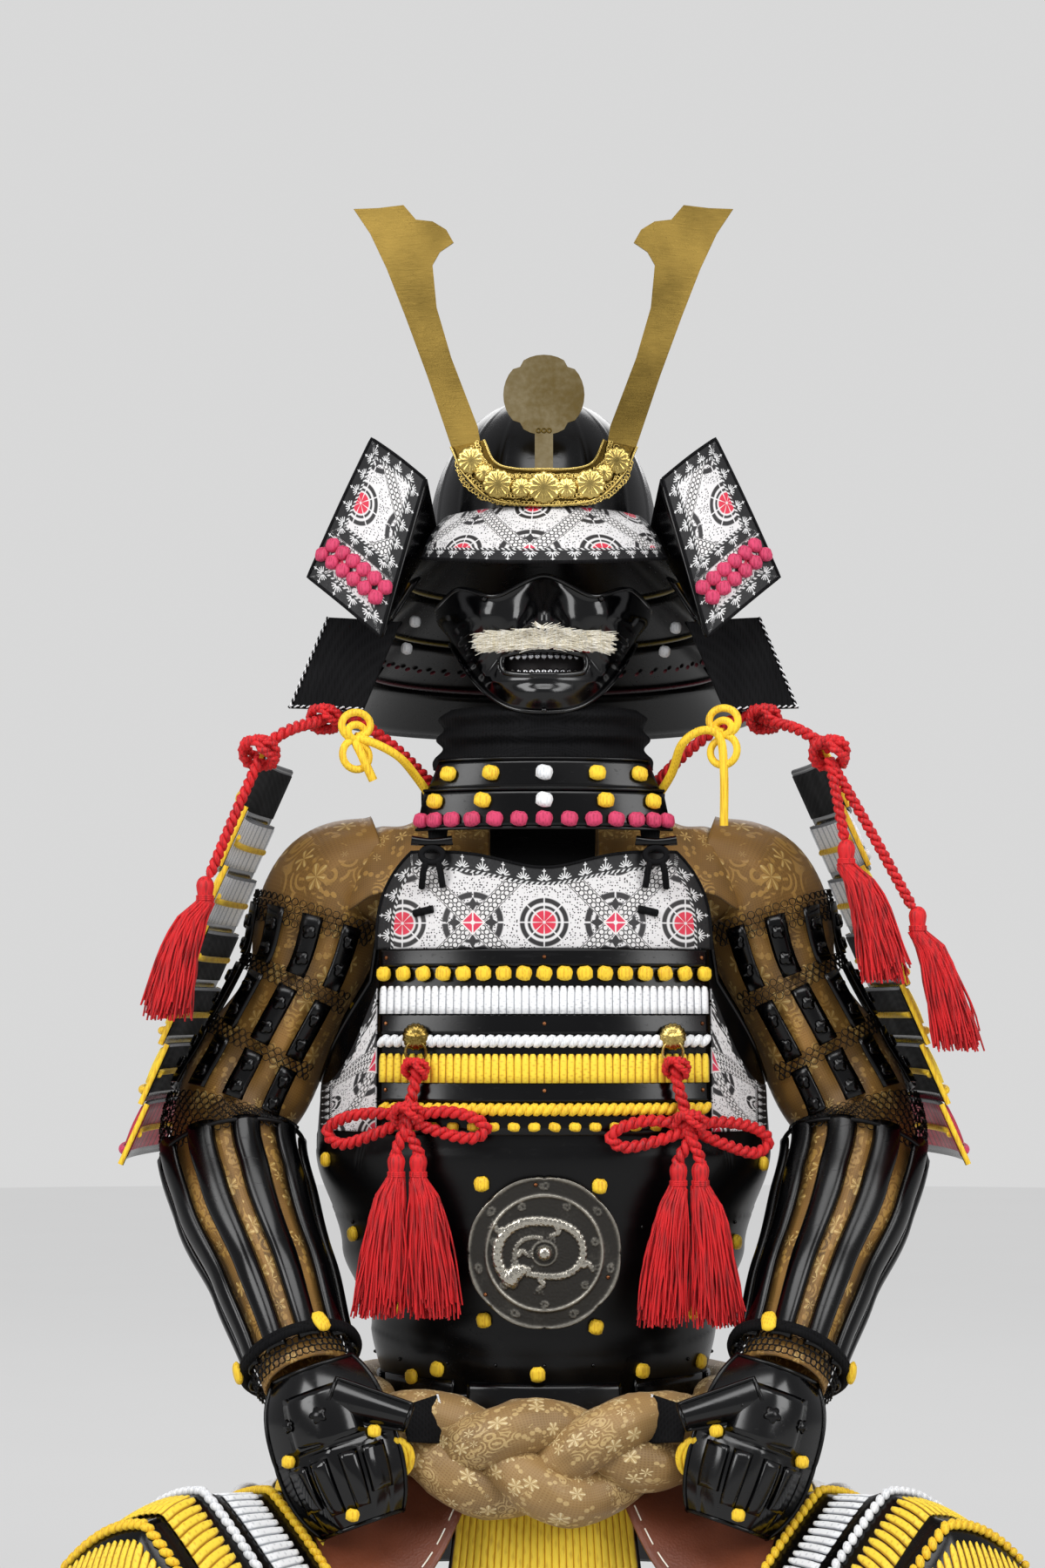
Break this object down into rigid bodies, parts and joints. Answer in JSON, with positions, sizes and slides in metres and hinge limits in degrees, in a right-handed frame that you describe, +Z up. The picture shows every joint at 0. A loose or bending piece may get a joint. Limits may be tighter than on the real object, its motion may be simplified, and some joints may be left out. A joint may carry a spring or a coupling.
{
  "type": "samurai armour",
  "caption": "Seated samurai armour: horned helmet, half mask, laced cuirass, shoulder, arm and hand guards, rope belt and tassets, hollow as if worn.",
  "frame": {"origin": "midway between the undersides of the two shoulder straps, where the wearer's shoulders carry the armour", "axes": "+Z up, the front faces -Y, +X to the armour's own left as seen on the right of the picture"},
  "size_m": [0.879, 0.6642, 1.4207],
  "materials": {
    "black_lacquer": "deep gloss black lacquer over iron and hide",
    "printed_leather": "pale leather printed in black and red, matt",
    "gilt_metal": "bright gilt openwork, polished",
    "brushed_gold": "flat plate, finely brushed",
    "dark_silver": "darkened silver, rubbed bright on the relief",
    "sleeve_brocade": "gold-brown figured brocade with a low sheen",
    "rope_brocade": "soft figured brocade, padded",
    "white_lacing": "flat white silk braid",
    "yellow_lacing": "flat yellow silk braid on black lames",
    "red_silk": "two-ply twisted crimson silk",
    "black_cloth": "matt black cloth",
    "brown_leather": "brown leather with stitched edges",
    "cream_fur": "cream animal hair"
  },
  "bodies": {
    "root": {"helmet_bowl": "black_lacquer", "neck_guard": "black_lacquer", "mask": "black_lacquer", "throat_lame_upper": "black_lacquer", "throat_lame_lower": "black_lacquer", "cuirass_front": "black_lacquer", "cuirass_back": "black_lacquer", "upper_arm_guard_left": "black_lacquer", "upper_arm_guard_right": "black_lacquer", "forearm_guard_left": "black_lacquer", "forearm_guard_right": "black_lacquer", "hand_guard_left": "black_lacquer", "hand_guard_right": "black_lacquer", "visor": "printed_leather", "chest_plate": "printed_leather", "turnback_upper_left": "printed_leather", "turnback_upper_right": "printed_leather", "side_panel_left": "printed_leather", "side_panel_right": "printed_leather", "crest_base": "gilt_metal", "boss_left": "gilt_metal", "boss_right": "gilt_metal", "crest_disc": "brushed_gold", "crest_horn_left": "brushed_gold", "crest_horn_right": "brushed_gold", "medallion": "dark_silver", "sleeve_left": "sleeve_brocade", "sleeve_right": "sleeve_brocade", "rope_belt": "rope_brocade", "front_lame_upper": "white_lacing", "front_lame_middle": "yellow_lacing", "front_lame_lower": "yellow_lacing", "tasset_front": "yellow_lacing", "tasset_hip_left": "yellow_lacing", "tasset_hip_right": "yellow_lacing", "tasset_back_left": "yellow_lacing", "tasset_back_right": "yellow_lacing", "tasset_lap_left": "yellow_lacing", "tasset_lap_right": "yellow_lacing", "shoulder_guard_left": "yellow_lacing", "shoulder_guard_right": "yellow_lacing", "yellow_tie_left": "yellow_lacing", "yellow_tie_right": "yellow_lacing", "bow_cord_left": "red_silk", "bow_cord_right": "red_silk", "guard_cord_left": "red_silk", "guard_cord_right": "red_silk", "chest_tassel_left_1": "red_silk", "chest_tassel_left_2": "red_silk", "chest_tassel_right_1": "red_silk", "chest_tassel_right_2": "red_silk", "guard_tassel_left_1": "red_silk", "guard_tassel_right_1": "red_silk", "guard_tassel_right_2": "red_silk", "neck_roll": "black_cloth", "shoulder_strap_left": "black_cloth", "shoulder_strap_right": "black_cloth", "thigh_apron_left": "brown_leather", "thigh_apron_right": "brown_leather", "moustache": "cream_fur"}
  },
  "joints": []
}
